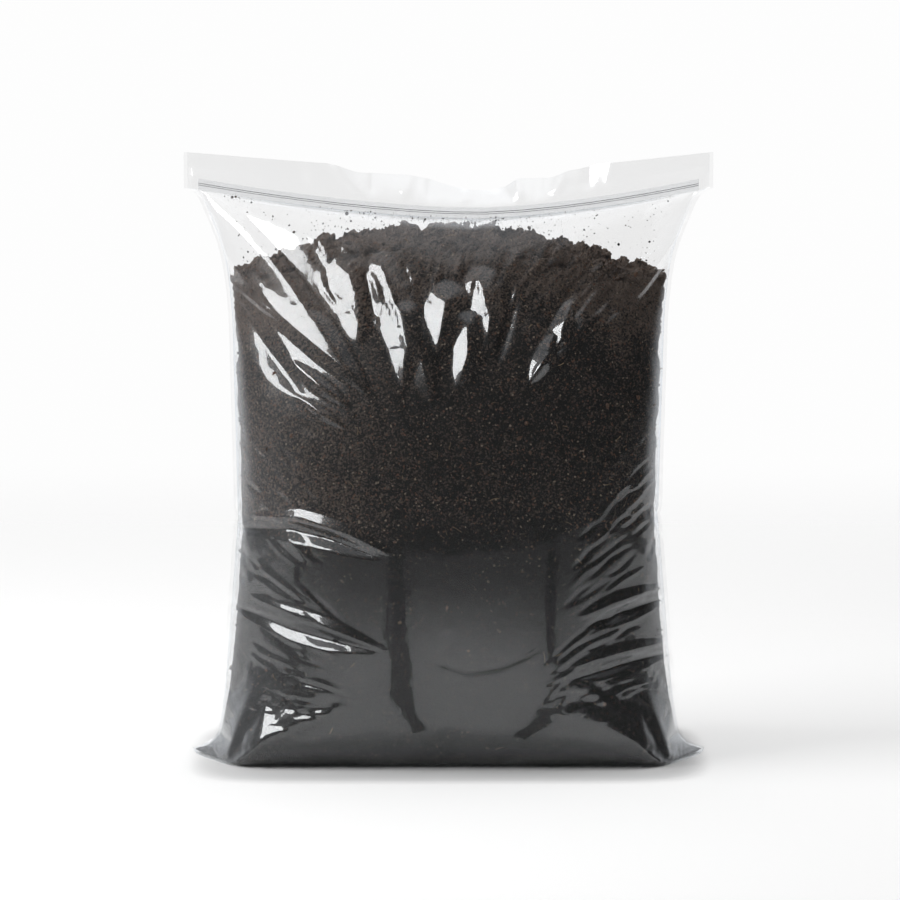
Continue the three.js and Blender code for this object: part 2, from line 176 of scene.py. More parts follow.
def smooth(x, low, high):
    u = np.clip((x - low) / (high - low), 0, 1)
    return u * u * (3 - 2 * u)


def mix(a, b, share):
    return a + (b - a) * share


def from_sag(across):
    right = (across - sag_centre) / (1 - sag_centre)
    return np.where(across > sag_centre, right, (sag_centre - across) / (1 + sag_centre))


def zip_foot(across):
    return mix(zip_middle, zip_end, from_sag(across) ** 1.6)


def pouch(across, t):
    """x, half depth and height of the film, t from the bottom fold, 0, to the zip, 1."""
    (depth, high), _ = np.moveaxis(along(middle_line, t)[0], -1, 0), 0
    slow = mix(t**1.5, t, smooth(t, 0.15, 0.5))
    wide, side_high = np.moveaxis(along(side_line, slow)[0], -1, 0)
    past = np.maximum(np.abs(across) - box_share, 0) / (1 - box_share)
    box = np.minimum(depth, heel_half * (1 - past**bluntness))
    oval = depth * np.sqrt(np.maximum(1 - across**2, 0)) ** mix(0.66, 1.5, smooth(t, 0.62, 0.97))
    rounded = smooth(t, 0.1, 0.34)
    on_floor = np.maximum(1 - depth / heel_half, 0) ** (1 / bluntness)
    flat = np.minimum(mix(box_share + (1 - box_share) * on_floor, 0, rounded), 0.99)
    level = mix(high, side_high, smooth(np.abs(across), flat, 1))
    near_zip = smooth(t, 0.93, 1)
    edge = smooth(1 - np.abs(across), 0, 0.01)
    return (
        wide * across,
        mix(mix(box, oval, rounded), zip_half_depth * edge, near_zip),
        mix(level, zip_foot(across), smooth(t, 0.8, 1)),
    )


probe = np.array([0.0, 0.5, 1.0])
print("waist section, mm:", np.round(np.array(pouch(probe, np.full(3, 0.4))) / MM, 1).tolist())

# %% [markdown]
# ## The film as two grids
#
# Each panel is a grid that stands on the loft. A second, flat set of places goes with it, from which the
# cloth solver takes every rest length. A real panel is a rectangle. This flat one isn't: each of its rows is
# as long as the loft is round at that level, so it is wider at the foot and narrower at the shoulders than
# the real sheet. The solver therefore hardly changes the standing shape, and what it does is no proof of how
# a flat bag would fill. The two panels are merged along the welds and the bottom fold.

# %% Stand the panels
columns = 84
pouch_rows = 106
zip_rows = 2
lip_rows = 4
all_rows = pouch_rows + zip_rows + lip_rows


def stand(column, row):
    """Where a grid point stands. column runs from -1 to 1, and row from 0 to all_rows."""
    t = np.clip(row / pouch_rows, 0, 1)
    dense = np.linspace(0, 1, 240)
    grid_t = np.repeat(np.unique(t)[:, None], dense.size, axis=1)
    x, y, z = pouch(np.broadcast_to(dense, grid_t.shape), grid_t)
    spans = np.sqrt(np.diff(x) ** 2 + np.diff(y) ** 2 + np.diff(z) ** 2)
    reach = np.concatenate([np.zeros((len(x), 1)), np.cumsum(spans, axis=1)], axis=1)
    across = np.empty_like(column)
    width = np.empty_like(column)
    for k, level in enumerate(np.unique(t)):
        here = t == level
        across[here] = np.sign(column[here]) * np.interp(np.abs(column[here]), reach[k] / reach[k, -1], dense)
        width[here] = reach[k, -1]
    x, y, z = pouch(across, t)
    up = (row - pouch_rows) / zip_rows
    past = np.clip((row - pouch_rows - zip_rows) / lip_rows, 0, 1)
    away = from_sag(across)
    zip_top = zip_foot(across) + zip_height * 0.97
    lip_edge = stand_height - np.interp(x, lip_drop[:, 0], lip_drop[:, 1])
    z = np.where(up > 0, mix(z, zip_top, np.clip(up, 0, 1)), z)
    z = np.where(past > 0, mix(zip_top, lip_edge, past), z)
    y = np.where(past > 0, mix(y, np.minimum(y, lip_half_depth), np.minimum(1, past * 2)), y)
    lean = lip_lean * (1 - smooth(away, 0.1, 0.8)) * past**1.4
    return np.stack([x, y, z], axis=1), lean, width


def turn_round(sheet):
    """Makes the faces of a sheet look the other way."""
    bpy.ops.object.mode_set(mode="EDIT")
    bpy.ops.mesh.select_all(action="SELECT")
    bpy.ops.mesh.flip_normals()
    bpy.ops.object.mode_set(mode="OBJECT")


def panel(face):
    """One panel of the film: -1 is the front and 1 the back."""
    bpy.ops.mesh.primitive_grid_add(x_subdivisions=columns, y_subdivisions=all_rows, size=2)
    sheet = bpy.context.object
    mesh = sheet.data
    co = np.empty(len(mesh.vertices) * 3)
    mesh.vertices.foreach_get("co", co)
    co = co.reshape(-1, 3)
    column = np.round(co[:, 0] * columns / 2) * 2 / columns
    row = np.round((co[:, 1] + 1) / 2 * all_rows)
    standing, lean, width = stand(column, row)
    standing[:, 1] = face * standing[:, 1] + lean
    above = np.maximum(row - pouch_rows, 0)
    height = np.where(
        above > zip_rows,
        zip_height + lip_height * (above - zip_rows) / lip_rows,
        zip_height * above / zip_rows,
    )
    flat_height = panel_length * np.minimum(row / pouch_rows, 1) + height
    flat = np.stack([column * width, np.zeros_like(width), flat_height], axis=1)
    mesh.vertices.foreach_set("co", standing.ravel())
    mesh.attributes.new("flat", "FLOAT_VECTOR", "POINT").data.foreach_set("vector", flat.ravel())
    mesh.attributes.new("row", "FLOAT", "POINT").data.foreach_set("value", row)
    mesh.attributes.new("column", "FLOAT", "POINT").data.foreach_set("value", column)
    mesh.attributes.new("face", "FLOAT", "POINT").data.foreach_set("value", np.full(len(row), float(face)))
    if face > 0:
        turn_round(sheet)
    return sheet


front = panel(-1)
back = panel(1)
bpy.ops.object.select_all(action="DESELECT")
back.select_set(True)
front.select_set(True)
bpy.context.view_layer.objects.active = front
bpy.ops.object.join()
film = bpy.context.object
film.name = "film_cloth"
bpy.ops.object.mode_set(mode="EDIT")
bpy.ops.mesh.select_all(action="SELECT")
bpy.ops.mesh.remove_doubles(threshold=0.02 * MM)
bpy.ops.object.mode_set(mode="OBJECT")
print("film points and faces:", len(film.data.vertices), len(film.data.polygons))


# %% [markdown]
# ## Slack
#
# The cloth solver does what the filler did: it presses the film outwards from inside, while the film's own
# rest lengths resist. The zip and the flat bottom are pinned, and the rest is held near the loft by weak
# pins, so the bag keeps its proportions. A slight seeded shiver gives the film something to buckle from. The
# film moves by about a millimetre, and at most by four or five. The folds that show are raised afterwards.

# %% Cloth
film_frames = 26
shiver = 0.07 * MM


def points_of(mesh, attribute, width):
    values = np.empty(len(mesh.attributes[attribute].data) * width)
    mesh.attributes[attribute].data.foreach_get("vector" if width > 1 else "value", values)
    return values.reshape(-1, width) if width > 1 else values


def places(mesh):
    """The mesh's points as an array."""
    co = np.empty(len(mesh.vertices) * 3)
    mesh.vertices.foreach_get("co", co)
    return co.reshape(-1, 3)


def hold(name, weights):
    group = film.vertex_groups.new(name=name)
    for index, weight in enumerate(weights):
        group.add([index], float(weight), "REPLACE")
    return group


def ripples(column, row):
    """Soft seeded ripples, none in the middle of the lower half, where the fill holds the film out tight."""
    rng = np.random.default_rng(11)
    wide, high = column * weld_half, row / pouch_rows * panel_length
    total = np.zeros(len(row))
    for _ in range(30):
        angle = rng.uniform(0, math.pi)
        turns = 2 * math.pi / rng.uniform(14 * MM, 40 * MM)
        phase = rng.uniform(0, 2 * math.pi)
        total += np.sin(turns * (wide * math.cos(angle) + high * math.sin(angle)) + phase)
    free = np.maximum(smooth(np.abs(column), 0.35, 0.7), smooth(row / pouch_rows, 0.5, 0.66))
    return shiver * total / math.sqrt(15) * free


def relax(frames):
    """Runs the cloth solver on the film and keeps the result."""
    bpy.ops.object.select_all(action="DESELECT")
    film.select_set(True)
    bpy.context.view_layer.objects.active = film
    film.shape_key_add(name="standing")
    key = film.shape_key_add(name="flat")
    flat = points_of(film.data, "flat", 3)
    key.data.foreach_set("co", flat.ravel())
    cloth = film.modifiers.new("cloth", "CLOTH")
    settings = cloth.settings
    settings.rest_shape_key = key
    settings.vertex_group_mass = "held"
    settings.quality = 5
    settings.mass = 0.2
    settings.air_damping = 1.5
    settings.tension_stiffness = 60
    settings.compression_stiffness = 60
    settings.shear_stiffness = 20
    settings.bending_stiffness = 0.02
    settings.pin_stiffness = 0.6
    settings.use_pressure = True
    settings.uniform_pressure_force = 2.5
    settings.effector_weights.gravity = 0
    cloth.collision_settings.use_collision = False
    cloth.point_cache.frame_start = 1
    cloth.point_cache.frame_end = frames
    for number in range(1, frames + 1):
        bpy.context.scene.frame_set(number)
    bpy.ops.object.convert(target="MESH")


row = points_of(film.data, "row", 1)
before = places(film.data)
held = np.full(len(row), 0.01)
held[(row >= pouch_rows) & (row <= pouch_rows + zip_rows)] = 1
held[row > pouch_rows + zip_rows] = 0.3
held[before[:, 2] < 0.3 * MM] = 1
shaken = before.copy()
loose = held < 0.1
shaken[:, 1] += loose * ripples(points_of(film.data, "column", 1), row)
film.data.vertices.foreach_set("co", shaken.ravel())
hold("held", held)
relax(film_frames)
moved = np.linalg.norm(places(film.data) - before, axis=1) / MM
print("film moved, mm: mean", round(moved.mean(), 1), "most", round(moved.max(), 1))

# %% [markdown]
# ## Fine panels
#
# The settled film is read back as rows and columns of points and made four times as fine in height,
# because the sharp puckers along the sides lie almost level and are only a few millimetres apart.

# %% Finer film
finer_rows = 4
finer_columns = 2
above_floor = 0.2 * MM


def settled(face):
    """One panel of the settled film, as rows and columns of points."""
    row = points_of(film.data, "row", 1)
    column = points_of(film.data, "column", 1)
    mine = (points_of(film.data, "face", 1) == face) | (row < 0.5) | (np.abs(column) > 0.999)
    grid = np.empty((all_rows + 1, columns + 1, 3))
    across = np.round((column[mine] + 1) / 2 * columns).astype(int)
    grid[np.round(row[mine]).astype(int), across] = places(film.data)[mine]
    return grid


def finer(grid):
    rows, across, _ = grid.shape
    grid = through(grid.reshape(rows, -1), finer_rows).reshape(-1, across, 3).transpose(1, 0, 2)
    grid = through(grid.reshape(across, -1), finer_columns).reshape(-1, grid.shape[1], 3)
    return grid.transpose(1, 0, 2)


def outward(grid, face):
    normal = -face * np.cross(np.gradient(grid, axis=1), np.gradient(grid, axis=0))
    return normal / np.maximum(np.linalg.norm(normal, axis=2, keepdims=True), 1e-12)


coarse = {face: settled(face) for face in (-1, 1)}
fine = {face: finer(coarse[face]) for face in (-1, 1)}
for grid in (*coarse.values(), *fine.values()):
    grid[..., 2] = np.maximum(grid[..., 2], above_floor)
bpy.data.objects.remove(film)
print("points on one panel:", fine[-1].shape[0] * fine[-1].shape[1])

# %% [markdown]
# ## Where a fold is seen
#
# Folds are placed one by one, so each is written down where it is seen in the front view, in pixels of a
# picture 900 pixels wide. A fold is a line with a half width and a height: a sharp crest along the line
# with a straight flank on each side. Straight flanks matter, because a mirror-like film shows each flank
# as one patch of light or dark.

# %% Strokes
picture = 900


def seen(points):
    """Where points lie in the front view."""
    away = points - np.array(camera.location)
    depth = away @ -np.array(back_off)
    up = np.array((0, math.sin(camera_elevation), math.cos(camera_elevation)))
    scale = picture * camera_distance / view_width
    return picture / 2 + away[..., 0] / depth * scale, picture / 2 - away @ up / depth * scale


def stroke(px, py, path, half_width, swell, flat=0.0):
    """A fold's height over the picture, from 0 to 1. swell says which part of a lens shape it covers,
    and flat how much of its width is a level top."""
    path = np.array(path, float)
    height = np.zeros(px.shape)
    low, high = path.min(axis=0) - half_width, path.max(axis=0) + half_width
    near = (px > low[0]) & (px < high[0]) & (py > low[1]) & (py < high[1])
    x, y = px[near], py[near]
    spans = np.diff(path, axis=0)
    lengths = np.linalg.norm(spans, axis=1)
    best = np.full(x.shape, 1e9)
    share = np.zeros(x.shape)
    done = 0
    for start, span, length in zip(path, spans, lengths):
        run = np.clip(((x - start[0]) * span[0] + (y - start[1]) * span[1]) / length, 0, length)
        away = np.hypot(x - start[0] - run * span[0] / length, y - start[1] - run * span[1] / length)
        closer = away < best
        best = np.where(closer, away, best)
        share = np.where(closer, (done + run) / lengths.sum(), share)
        done += length
    strength = np.sin(np.pi * np.clip(mix(*swell, share), 0.001, 0.999)) ** 0.7
    height[near] = np.clip(strength - best / half_width, 0, 1 - flat) / (1 - flat)
    return height


LENS = (0, 1)

# %% [markdown]
# ## The large folds
#
# Three kinds can be told apart. From the two upper corners a fold runs in to the belly, because the film
# is pulled between the zip's ends and the fill. Under the zip the film hangs in sharp flutes that all
# point at the middle of the belly. Low on each side one or two flaps lie across the bag, where it slumped
# while it was filled.

# %% Large folds
large_folds = [
    # path, half width in pixels, height in mm outwards, swell and, for some, the share of a level top
    ([(190, 192), (222, 226), (260, 270), (292, 308), (324, 344), (372, 398)], 27, 3.4, (0.15, 1), 0.5),
    ([(236, 300), (262, 342), (302, 398)], 18, -3.2, LENS),
    ([(708, 193), (680, 228), (653, 264), (609, 316)], 18, 3.4, (0.25, 1)),
    ([(706, 200), (668, 262), (628, 322)], 9, -1.8, (0.3, 1)),
    ([(660, 268), (632, 300), (604, 330)], 8, 1.8, LENS),
    ([(232, 283), (258, 302), (284, 323)], 6, 1.4, LENS),
    ([(350, 276), (360, 312), (358, 344)], 26, 3.0, (0.3, 1)),
    ([(362, 268), (370, 300), (372, 330)], 9, -2.0, LENS),
    ([(382, 266), (398, 310), (406, 348), (404, 390)], 22, 4.2, (0.2, 1)),
    ([(408, 314), (421, 352), (433, 406)], 16, 3.6, (0.25, 1)),
    ([(447, 302), (444, 322), (437, 358)], 22, 5.6, (0.4, 1)),
    ([(468, 324), (469, 354), (458, 390)], 16, 4.8, (0.3, 1)),
    ([(482, 284), (491, 318), (486, 360)], 20, 5.6, (0.3, 1)),
    ([(512, 276), (508, 320), (498, 366)], 10, -2.0, LENS),
    ([(569, 300), (566, 322), (557, 350)], 11, 5.8, LENS),
    ([(553, 334), (546, 356), (531, 384)], 11, 5.8, LENS),
    ([(604, 262), (584, 320), (552, 372)], 12, 2.2, LENS),
    ([(288, 358), (318, 384), (350, 408)], 9, 2.4, LENS),
    ([(294, 394), (320, 412), (348, 430)], 7, 1.8, LENS),
    ([(236, 528), (290, 530), (330, 540), (378, 558)], 11, -4.2, LENS),
    ([(252, 516), (300, 517), (350, 534), (392, 556)], 9, 2.4, LENS),
    ([(236, 606), (290, 630), (332, 642), (378, 652)], 10, -3.8, LENS),
    ([(250, 596), (300, 616), (350, 636), (384, 650)], 9, 2.2, LENS),
    ([(664, 598), (626, 612), (586, 627)], 9, -3.4, LENS),
    ([(662, 586), (620, 600), (580, 618)], 8, 2.0, LENS),
    ([(670, 652), (626, 664), (574, 680)], 9, -3.4, LENS),
    ([(668, 641), (620, 652), (570, 668)], 8, 2.0, LENS),
    ([(424, 655), (440, 664), (468, 672), (500, 667), (526, 657), (545, 646)], 7, -0.8, LENS),
]

large_back_folds = [
    ([(248, 490), (300, 500), (359, 520)], 10, -4.0, LENS),
    ([(650, 536), (590, 548), (524, 564)], 10, -4.0, LENS),
    ([(660, 662), (610, 656), (556, 646)], 10, -4.0, LENS),
    ([(197, 190), (327, 319)], 20, 3.6, LENS),
    ([(700, 190), (560, 332)], 20, 3.6, LENS),
    ([(318, 215), (381, 400)], 16, -2.8, LENS),
    ([(449, 224), (449, 408)], 16, 2.8, LENS),
    ([(579, 215), (517, 400)], 16, -2.8, LENS),
]

# %% [markdown]
# ## The small puckers
#
# Up each side the weld is longer than the body needs, and the spare film runs in as many slender puckers,
# all leaning towards the middle of the bottom. Their places are drawn from a seeded generator. The back
# panel gets puckers and flutes of its own from another seed, since it can't be seen.

# %% Puckers and flutes
pucker_aim = (452, 800)
puckers_each_side = 64
front_crinkles = 130
back_flutes = 26
flute_aim = (450, 480)


def puckers(rng):
    for side in (-1, 1):
        for y in np.linspace(420, 748, puckers_each_side):
            edge = 450 + side * (212 + 12 * smooth(y, 620, 740))
            start = np.array([edge - side * rng.uniform(4, 70), y + rng.uniform(-6, 6)])
            way = np.array(pucker_aim) - start
            way = way / np.linalg.norm(way) * (1, rng.uniform(0.45, 0.75))
            reach = rng.uniform(30, 92) * mix(0.7, 1, smooth(y, 430, 560))
            curve = np.array([0, rng.uniform(-5, 5)])
            path = [start, start + way * reach / 2 + curve, start + way * reach]
            high = rng.uniform(0.3, 0.7) * rng.choice([-1, -1, 1])
            high *= mix(0.5, 1, smooth(y, 430, 540)) * mix(1, 0.35, smooth(y, 660, 715))
            yield path, rng.uniform(2.4, 4.2), high, LENS


def flutes(rng, places_across):
    for x in places_across:
        start = np.array([x + rng.uniform(-8, 8), 232 + 26 * abs(x - 450) / 200 + rng.uniform(-12, 20)])
        way = (np.array(flute_aim) - start) * rng.uniform(0.3, 0.65)
        path = [start, start + way / 2 + rng.uniform(-4, 4, 2), start + way]
        yield path, rng.uniform(5, 9), rng.uniform(-1.5, 1.5), LENS


def crinkles(rng, count):
    """Short sharp creases just under the zip. They scatter what the film mirrors."""
    for _ in range(count):
        start = np.array([rng.uniform(306, 640), rng.uniform(222, 296)])
        way = np.array(flute_aim) - start
        way *= rng.uniform(16, 46) / np.linalg.norm(way)
        path = [start, start + way / 2 + rng.uniform(-2, 2, 2), start + way]
        yield path, rng.uniform(2.2, 3.6), rng.uniform(0.35, 0.8) * rng.choice([-1, 1]), LENS


def creased(face, folds):
    """The panel with its folds raised."""
    grid = fine[face]
    px, py = seen(grid)
    lift = np.zeros(px.shape)
    for path, half_width, height, *shape in folds:
        lift += height * MM * stroke(px, py, path, half_width, *shape)
    rows, across, _ = grid.shape
    share = np.linspace(-1, 1, across)[None, :]
    in_pouch = np.linspace(0, all_rows, rows)[:, None] / pouch_rows
    lift *= smooth(1 - np.abs(share), 0, 0.05) * smooth(in_pouch, 0.17, 0.2) * smooth(1 - in_pouch, 0, 0.05)
    return grid + outward(grid, face) * lift[..., None]


front_rng = np.random.default_rng(4)
back_rng = np.random.default_rng(9)
front_flutes = [524, 552, 590, 622, 640]
front_folds = [
    *large_folds,
    *puckers(front_rng),
    *flutes(front_rng, front_flutes),
    *crinkles(front_rng, front_crinkles),
]
back_folds = [
    *large_back_folds,
    *puckers(back_rng),
    *flutes(back_rng, np.linspace(250, 652, back_flutes)),
]
creased_film = {-1: creased(-1, front_folds), 1: creased(1, back_folds)}
print("folds on the front:", len(front_folds))

# %% [markdown]
# ## Pleats in the lip
#
# Above the zip the two layers are free, and the middle of the lip has dropped, so its edge is too long
# and zigzags. Both layers are moved together, or they would pass through each other.

# %% Lip pleats
lip_pleats = [
    # from the edge to the zip, half width in pixels, movement in mm towards the back
    ([(336, 163), (366, 203)], 9, -2.6),
    ([(374, 171), (372, 206)], 7, 2.0),
    ([(410, 171), (402, 208)], 10, -2.2),
    ([(432, 176), (430, 208)], 8, 2.6),
    ([(473, 184), (459, 213)], 10, -3.0),
    ([(498, 184), (520, 214)], 8, 2.2),
    ([(517, 175), (521, 213)], 8, -3.2),
    ([(539, 176), (536, 208)], 8, 2.4),
    ([(562, 170), (551, 208)], 9, -2.8),
    ([(590, 164), (587, 200)], 9, 2.2),
    ([(612, 160), (606, 198)], 9, -1.6),
    ([(296, 158), (308, 196)], 10, 1.4),
]


def pleated(grid):
    px, py = seen(grid)
    push = np.zeros(px.shape)
    for path, half_width, height in lip_pleats:
        push += height * MM * stroke(px, py, path, half_width, (0.35, 1))
    in_lip = (np.linspace(0, all_rows, grid.shape[0]) - pouch_rows - zip_rows) / lip_rows
    grid = grid.copy()
    grid[..., 1] += push * smooth(in_lip, 0, 0.5)[:, None]
    return grid


creased_film = {face: pleated(grid) for face, grid in creased_film.items()}

# %% [markdown]
# ## Welds and the finished panels
#
# Up each side the two layers are melted together into a flat margin. It belongs to the front panel here,
# one strip outside the line where the panels meet, and it ripples a little where the puckers end.

# %% Finished panels
margin_ripple = 0.25 * MM


def with_margins(grid):
    rows = len(grid)
    rng = np.random.default_rng(3)
    ripple = np.convolve(rng.normal(0, 1, rows + 12), np.hanning(13) / 2, "valid") * margin_ripple
    strips = []
    for side, edge in ((-1, grid[:, 0]), (1, grid[:, -1])):
        strip = edge + np.array([side * side_weld, 0, 0])
        strip[:, 1] += ripple * np.clip(edge[:, 2] / (50 * MM), 0, 1)
        strips.append(strip[:, None])
    return np.concatenate([strips[0], grid, strips[1]], axis=1)


def as_sheet(name, grid, face):
    """A sheet of quads through rows and columns of points."""
    rows, across, _ = grid.shape
    bpy.ops.mesh.primitive_grid_add(x_subdivisions=across - 1, y_subdivisions=rows - 1, size=2)
    sheet = bpy.context.object
    sheet.name = name
    flat = places(sheet.data)
    column = np.round((flat[:, 0] + 1) / 2 * (across - 1)).astype(int)
    row = np.round((flat[:, 1] + 1) / 2 * (rows - 1)).astype(int)
    sheet.data.vertices.foreach_set("co", grid[row, column].ravel())
    if face > 0:
        turn_round(sheet)
    bpy.ops.object.shade_smooth()
    return sheet


film_front = as_sheet("film_front", with_margins(creased_film[-1]), -1)
film_back = as_sheet("film_back", creased_film[1], 1)
for sheet in (film_front, film_back):
    print(sheet.name, "faces:", len(sheet.data.polygons))

# %% [markdown]
# ## The compost
#
# The fill is a copy of the inside of the bag: the settled panels are drawn in a little from the side
# welds, where it can't reach, and cut off at the heap's line. It is remeshed to an even skin, pushed in
# where it comes too near a fold of the film, and then roughened, most of all along the crest, where
# nothing has pressed it flat. A tone is kept with every point: painted shade makes the lower half
# darker, painted light makes the left side paler, and the crest and its corners are paler too.

# %% Body of the compost
heap_fall = 0.3
heap_line = MM * np.array([
    (-178, 310), (-151, 325), (-141, 335), (-131, 338), (-114, 342), (-92, 351), (-67, 356), (-30, 361),
    (1, 361), (26, 360), (55, 358), (62, 354), (88, 350), (105, 345), (111, 339), (134, 336),
    (152, 326), (178, 310),
])
compost_voxel = 2.4 * MM
film_clearance = 1.1 * MM


def heap_top(points):
    """Height of the heap at points: it falls from its crest to the front and to the back."""
    return np.interp(points[..., 0], heap_line[:, 0], heap_line[:, 1]) - heap_fall * np.abs(points[..., 1])


def drawn_in(grid):
    """The part of a panel's inside that the compost fills."""
    pouch_part = grid[: pouch_rows + 1].copy()
    pouch_part[-1, :, 1] = 0
    x, y, z = np.moveaxis(pouch_part, -1, 0)
    scallop = 0.006 * np.sin(z / (4.1 * MM)) + 0.005 * np.sin(z / (9.7 * MM) + 1)
    at_side = smooth(z, 22 * MM, 80 * MM) * (1 - smooth(z, 285 * MM, 318 * MM))
    x *= mix(0.997, 0.985 + scallop, at_side)
    ear = 1 - smooth(z, 10 * MM, 20 * MM)
    face = np.sign(grid[pouch_rows // 2, columns // 2, 1])
    pouch_part[1:, 1:-1, 1] += face * (ear * 1.2 * MM)[1:, 1:-1]
    z[:] = np.minimum(z, heap_top(pouch_part))
    z[:] = np.maximum(z, 1.2 * MM)
    return pouch_part


def joined(sheets):
    bpy.ops.object.select_all(action="DESELECT")
    for sheet in sheets:
        sheet.select_set(True)
    bpy.context.view_layer.objects.active = sheets[0]
    bpy.ops.object.join()
    return bpy.context.object


compost = joined([
    as_sheet("compost_front", drawn_in(coarse[-1]), -1),
    as_sheet("compost_back", drawn_in(coarse[1]), 1),
])
compost.name = "compost_fill"
bpy.ops.object.mode_set(mode="EDIT")
bpy.ops.mesh.select_all(action="SELECT")
bpy.ops.mesh.remove_doubles(threshold=0.05 * MM)
bpy.ops.object.mode_set(mode="OBJECT")
skin = compost.modifiers.new("skin", "REMESH")
skin.mode = "VOXEL"
skin.voxel_size = compost_voxel
bpy.ops.object.modifier_apply(modifier="skin")
print("compost faces:", len(compost.data.polygons))

# %% [markdown]
# ## Pressed flat behind the film
#
# Compost lies against the film and is flat there. Each point of the skin looks for the nearest film and
# is pushed in where it lies too close. Along the crest it is free, and noise at two sizes makes clods.
# The tone kept with every point carries painted shade, darker in the lower half, and painted light, paler on
# the left; it is paler along the crest as well.

# %% Clear of the film
film_points = []
film_faces = []
for sheet in (film_front, film_back):
    film_faces += [[len(film_points) + v for v in f.vertices] for f in sheet.data.polygons]
    film_points += places(sheet.data).tolist()
film_tree = BVHTree.FromPolygons(film_points, film_faces)


most_pushed = 7 * MM
fill_above_floor = 0.8 * MM
short_of_weld = 2 * MM
crest_ragged = 3 * MM


def inside(points, clearance):
    """The points, pushed in where they lie closer to the film than the clearance, and how far in each lay."""
    points = points.copy()
    room = np.empty(len(points))
    for k, point in enumerate(points):
        at, normal, _, _ = film_tree.find_nearest(Vector(point))
        room[k] = (at - Vector(point)).dot(normal)
        if room[k] < clearance:
            points[k] -= np.array(normal) * min(clearance - room[k], most_pushed)
    points[:, 2] = np.clip(points[:, 2], fill_above_floor, heap_top(points) + crest_ragged)
    half = np.interp(points[:, 2], side_line[:, 1], side_line[:, 0]) - short_of_weld
    points[:, 0] = np.clip(points[:, 0], -half, half)
    return points, room


def noise_of(points, size, seed):
    """Smooth noise over points, about -1 to 1, with bumps of the given size."""
    rng = np.random.default_rng(seed)
    total = np.zeros(len(points))
    for _ in range(14):
        way = rng.normal(0, 1, 3)
        way *= 2 * math.pi / (size * np.linalg.norm(way) * rng.uniform(0.7, 1.5))
        total += np.sin(points @ way + rng.uniform(0, 2 * math.pi))
    return total / math.sqrt(14)


body, room = inside(places(compost.data), film_clearance)
normals = np.empty(len(body) * 3)
compost.data.vertices.foreach_get("normal", normals)
normals = normals.reshape(-1, 3)
crest = smooth(body[:, 2] - heap_top(body), -9 * MM, -1 * MM)
grains = np.random.default_rng(5).uniform(-1, 0, len(body)) * mix(0.35, 1.3, crest) * MM
lumps = (noise_of(body, 11 * MM, 21) - 0.1) * mix(0.3, 3.4, crest) * MM
loose = smooth(body[:, 2] - heap_top(body), -55 * MM, -8 * MM)
lumps += (noise_of(body, 6 * MM, 22) - 1) * 0.9 * MM * loose
body, _ = inside(body + normals * (grains + lumps)[:, None], film_clearance * 0.8)
compost.data.vertices.foreach_set("co", body.ravel())
compost.data.update()
drop = heap_top(body) - body[:, 2]
loose_top = 1 - smooth(drop + 6 * MM * noise_of(body, 30 * MM, 8), 4 * MM, 62 * MM)
# Painted shade: below about 160 mm the tone drops to nothing, so the lower half is darker, as if in shade.
above_painted_shade = smooth(body[:, 2] + 8 * MM * noise_of(body, 40 * MM, 12), 140 * MM, 180 * MM)
# Painted light: the left side gets a paler tone, as if lit by the key light from the left.
painted_light_left = smooth(-body[:, 0], 10 * MM, 95 * MM)
# Paler towards both corners of the crest.
paler_corners = smooth(np.abs(body[:, 0]), 70 * MM, 130 * MM) * loose_top
tone_and_painted_light = np.clip(above_painted_shade * (0.3 + 0.3 * painted_light_left) + 0.7 * loose_top + 0.3 * paler_corners, 0, 1.2)
tone = compost.data.attributes.new("tone", "FLOAT", "POINT")
tone.data.foreach_set("value", tone_and_painted_light)
print("least room to the film before, mm:", round(float(room.min()) / MM, 2))

# %% [markdown]
# ## Crumbs, chips and fibres
#
# A heap reads as compost through its loose pieces. Crumbs sit along the crest and behind the film, and a
# few have stuck to the inside of the film above the heap. Each is a low ball of twenty faces, dented at
# random, so thousands of them stay cheap. Chips of bark are flat crumbs, and fibres are short bent
# sticks.

# %% Scatter
def ball():
    """Points and faces of the low ball that every crumb is made from."""
    bpy.ops.mesh.primitive_ico_sphere_add(subdivisions=1, radius=1)
    seed = bpy.context.object
    points, faces = places(seed.data), np.array([f.vertices[:] for f in seed.data.polygons])
    bpy.data.objects.remove(seed)
    return points, faces


def scatter(name, at, sizes, rng, stretch=(0.7, 1.3), dent=0.22, tones=0.5, spread=0.5):
    """One object of many dented balls, each turned, stretched and shaded at random."""
    points, faces = ball()
    count = len(at)
    shapes = points[None] * (1 + rng.uniform(-dent, dent, (count, len(points), 1)))
    shapes = shapes * rng.uniform(*stretch, (count, 1, 3)) * np.asarray(sizes)[:, None, None] / 2
    turns, _ = np.linalg.qr(rng.normal(0, 1, (count, 3, 3)))
    turns[:, :, 0] *= np.linalg.det(turns)[:, None]
    shapes = np.einsum("nij,nkj->nki", turns, shapes) + at[:, None]
    all_faces = (faces[None] + len(points) * np.arange(count)[:, None, None]).reshape(-1, 3)
    mesh = bpy.data.meshes.new(name)
    mesh.from_pydata(shapes.reshape(-1, 3).tolist(), [], all_faces.tolist())
    tone = mesh.attributes.new("tone", "FLOAT", "POINT")
    tone.data.foreach_set("value", np.repeat(tones + rng.uniform(-spread, spread, count), len(points)))
    scattered = bpy.data.objects.new(name, mesh)
    bpy.context.collection.objects.link(scattered)
    return scattered


def picked(weights, count, rng):
    """Points of the compost, picked by weight."""
    return rng.choice(len(weights), count, replace=False, p=weights / weights.sum())


